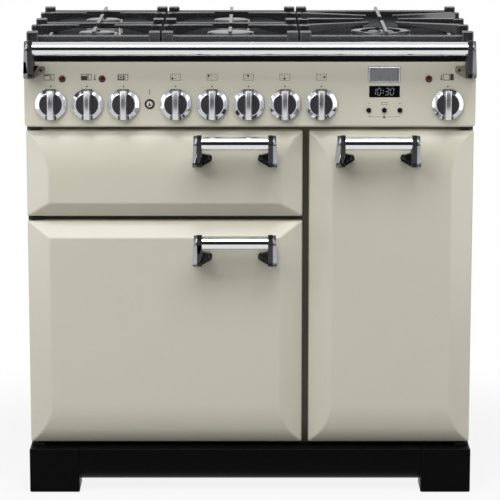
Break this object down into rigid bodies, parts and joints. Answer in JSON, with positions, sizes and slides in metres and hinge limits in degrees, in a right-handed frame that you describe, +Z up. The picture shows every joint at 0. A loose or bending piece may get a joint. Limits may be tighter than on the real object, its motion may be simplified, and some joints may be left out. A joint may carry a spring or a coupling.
{
  "type": "gas cooker",
  "caption": "Free-standing range cooker: gas hob with cast pan supports, control panel with knobs and rail, grill, two side-opening ovens, plinth.",
  "frame": {"origin": "on the floor, at the centre of the overall width and depth", "axes": "+Z up, -Y towards the person at the doors, +X to that person's right"},
  "size_m": [0.902, 0.6744, 0.943],
  "materials": {
    "panel_enamel": "gloss",
    "door_enamel": "gloss",
    "side_enamel": "satin",
    "frame_enamel": "satin",
    "black_enamel": "satin",
    "hob_enamel": "gloss",
    "vent_enamel": "satin",
    "oven_enamel": "speckled gloss",
    "liner_enamel": "gloss",
    "pan_enamel": "speckled gloss",
    "cap_enamel": "gloss",
    "galvanised_steel": "spangled",
    "zinc_steel": "satin",
    "oven_steel": "satin",
    "element_steel": "matte",
    "pipe_steel": "satin",
    "foot_steel": "satin",
    "chrome_plate": "polished",
    "knob_chrome": "polished",
    "wire_chrome": "polished",
    "cast_aluminium": "cast",
    "cast_iron": "matte enamel",
    "tap_brass": "machined",
    "clock_glass": "gloss",
    "red_lens": "gloss",
    "electrode_ceramic": "glazed",
    "switch_plastic": "moulded",
    "black_plastic": "moulded",
    "button_plastic": "moulded",
    "seal_rubber": "matte",
    "mineral_wool": "fibrous"
  },
  "bodies": {
    "root": {"side_panels": "side_enamel", "back_panel": "galvanised_steel", "base_pan": "galvanised_steel", "front_frame": "frame_enamel", "control_panel": "panel_enamel", "plinth": "black_enamel", "hob_tray": "hob_enamel", "rear_vent": "vent_enamel", "front_rail": "chrome_plate", "clock_window": "clock_glass", "indicator_lamps": "red_lens", "burner_bodies": "cast_aluminium", "burner_caps": "cap_enamel", "igniters": "electrode_ceramic", "grill_cavity": "oven_enamel", "left_oven_cavity": "oven_enamel", "right_oven_cavity": "oven_enamel", "insulation_blankets": "mineral_wool", "heating_elements": "element_steel", "shelf_ladders": "wire_chrome", "fan_housings": "oven_steel", "gas_pipes": "pipe_steel", "gas_taps": "tap_brass", "oven_switches": "switch_plastic", "terminal_box": "black_plastic", "door_seals": "seal_rubber", "hinge_brackets": "zinc_steel"},
    "grill_door": {"grill_door_panel": "door_enamel", "grill_door_liner": "liner_enamel", "grill_door_handle": "chrome_plate"},
    "left_oven_door": {"left_oven_door_panel": "door_enamel", "left_oven_door_liner": "liner_enamel", "left_oven_door_handle": "chrome_plate"},
    "right_oven_door": {"right_oven_door_panel": "door_enamel", "right_oven_door_liner": "liner_enamel", "right_oven_door_handle": "chrome_plate"},
    "grill_pan": {"grill_pan": "pan_enamel"},
    "left_oven_shelf": {"left_oven_shelf": "wire_chrome"},
    "right_oven_shelf": {"right_oven_shelf": "wire_chrome"},
    "left_oven_fan": {"left_oven_fan": "oven_steel"},
    "right_oven_fan": {"right_oven_fan": "oven_steel"},
    "grill_knob": {"grill_knob": "knob_chrome"},
    "oven_function_knob": {"oven_function_knob": "knob_chrome"},
    "oven_heat_knob": {"oven_heat_knob": "knob_chrome"},
    "burner_knob_1": {"burner_knob_1": "knob_chrome"},
    "burner_knob_2": {"burner_knob_2": "knob_chrome"},
    "burner_knob_3": {"burner_knob_3": "knob_chrome"},
    "burner_knob_4": {"burner_knob_4": "knob_chrome"},
    "burner_knob_5": {"burner_knob_5": "knob_chrome"},
    "right_oven_knob": {"right_oven_knob": "knob_chrome"},
    "ignition_button": {"ignition_button": "button_plastic"},
    "clock_button_left": {"clock_button_left": "button_plastic"},
    "clock_button_centre": {"clock_button_centre": "button_plastic"},
    "clock_button_right": {"clock_button_right": "button_plastic"},
    "left_pan_support": {"left_pan_support": "cast_iron"},
    "centre_pan_support": {"centre_pan_support": "cast_iron"},
    "right_pan_support": {"right_pan_support": "cast_iron"},
    "left_foot": {"left_foot": "foot_steel"},
    "right_foot": {"right_foot": "foot_steel"},
    "rear_rollers": {"rear_rollers": "foot_steel"}
  },
  "joints": [
    {"name": "grill_door_hinge", "type": "hinge", "parent": "root", "child": "grill_door", "pos_m": [-0.44, -0.23475, 0.65775], "axis": [0, 0, -1], "range_deg": [0, 100]},
    {"name": "left_oven_door_hinge", "type": "hinge", "parent": "root", "child": "left_oven_door", "pos_m": [-0.44, -0.23475, 0.32975], "axis": [0, 0, -1], "range_deg": [0, 100]},
    {"name": "right_oven_door_hinge", "type": "hinge", "parent": "root", "child": "right_oven_door", "pos_m": [0.44, -0.23475, 0.42175], "axis": [0, 0, 1], "range_deg": [0, 100]},
    {"name": "grill_pan_slide", "type": "slide", "parent": "root", "child": "grill_pan", "axis": [0, -1, 0], "range_m": [0, 0.158]},
    {"name": "left_oven_shelf_slide", "type": "slide", "parent": "root", "child": "left_oven_shelf", "axis": [0, -1, 0], "range_m": [0, 0.158]},
    {"name": "right_oven_shelf_slide", "type": "slide", "parent": "root", "child": "right_oven_shelf", "axis": [0, -1, 0], "range_m": [0, 0.123]},
    {"name": "left_oven_fan_spin", "type": "hinge", "parent": "root", "child": "left_oven_fan", "pos_m": [-0.172, 0.22425, 0.33075], "axis": [0, 1, 0], "continuous": true},
    {"name": "right_oven_fan_spin", "type": "hinge", "parent": "root", "child": "right_oven_fan", "pos_m": [0.2845, 0.22425, 0.42275], "axis": [0, 1, 0], "continuous": true},
    {"name": "grill_knob_turn", "type": "hinge", "parent": "root", "child": "grill_knob", "pos_m": [-0.397, -0.27075, 0.803], "axis": [0, 1, 0], "range_deg": [0, 270]},
    {"name": "oven_function_knob_turn", "type": "hinge", "parent": "root", "child": "oven_function_knob", "pos_m": [-0.3245, -0.27075, 0.803], "axis": [0, 1, 0], "range_deg": [0, 300]},
    {"name": "oven_heat_knob_turn", "type": "hinge", "parent": "root", "child": "oven_heat_knob", "pos_m": [-0.252, -0.27075, 0.803], "axis": [0, 1, 0], "range_deg": [0, 270]},
    {"name": "burner_knob_1_turn", "type": "hinge", "parent": "root", "child": "burner_knob_1", "pos_m": [-0.148, -0.27075, 0.803], "axis": [0, -1, 0], "range_deg": [0, 210]},
    {"name": "burner_knob_2_turn", "type": "hinge", "parent": "root", "child": "burner_knob_2", "pos_m": [-0.0755, -0.27075, 0.803], "axis": [0, -1, 0], "range_deg": [0, 210]},
    {"name": "burner_knob_3_turn", "type": "hinge", "parent": "root", "child": "burner_knob_3", "pos_m": [-0.003, -0.27075, 0.803], "axis": [0, -1, 0], "range_deg": [0, 210]},
    {"name": "burner_knob_4_turn", "type": "hinge", "parent": "root", "child": "burner_knob_4", "pos_m": [0.0695, -0.27075, 0.803], "axis": [0, -1, 0], "range_deg": [0, 210]},
    {"name": "burner_knob_5_turn", "type": "hinge", "parent": "root", "child": "burner_knob_5", "pos_m": [0.142, -0.27075, 0.803], "axis": [0, -1, 0], "range_deg": [0, 210]},
    {"name": "right_oven_knob_turn", "type": "hinge", "parent": "root", "child": "right_oven_knob", "pos_m": [0.394, -0.27075, 0.803], "axis": [0, 1, 0], "range_deg": [0, 270]},
    {"name": "ignition_button_press", "type": "slide", "parent": "root", "child": "ignition_button", "axis": [0, 1, 0], "range_m": [0, 0.003], "stiffness_N_per_m": 400},
    {"name": "clock_button_left_press", "type": "slide", "parent": "root", "child": "clock_button_left", "axis": [0, 1, 0], "range_m": [0, 0.003], "stiffness_N_per_m": 400},
    {"name": "clock_button_centre_press", "type": "slide", "parent": "root", "child": "clock_button_centre", "axis": [0, 1, 0], "range_m": [0, 0.003], "stiffness_N_per_m": 400},
    {"name": "clock_button_right_press", "type": "slide", "parent": "root", "child": "clock_button_right", "axis": [0, 1, 0], "range_m": [0, 0.003], "stiffness_N_per_m": 400},
    {"name": "left_pan_support_lift", "type": "slide", "parent": "root", "child": "left_pan_support", "axis": [0, 0, 1], "range_m": [0, 0.08]},
    {"name": "centre_pan_support_lift", "type": "slide", "parent": "root", "child": "centre_pan_support", "axis": [0, 0, 1], "range_m": [0, 0.08]},
    {"name": "right_pan_support_lift", "type": "slide", "parent": "root", "child": "right_pan_support", "axis": [0, 0, 1], "range_m": [0, 0.08]},
    {"name": "left_foot_screw", "type": "slide", "parent": "root", "child": "left_foot", "axis": [0, 0, -1], "range_m": [0, 0.025]},
    {"name": "right_foot_screw", "type": "slide", "parent": "root", "child": "right_foot", "axis": [0, 0, -1], "range_m": [0, 0.025]},
    {"name": "rear_rollers_roll", "type": "hinge", "parent": "root", "child": "rear_rollers", "pos_m": [0, 0.25525, 0.02], "axis": [1, 0, 0], "continuous": true}
  ],
  "couplings": [
    {"joint": "grill_pan_slide", "follows": "grill_door_hinge", "m_per_rad": 0.09},
    {"joint": "left_oven_shelf_slide", "follows": "left_oven_door_hinge", "m_per_rad": 0.09},
    {"joint": "right_oven_shelf_slide", "follows": "right_oven_door_hinge", "m_per_rad": 0.07}
  ]
}
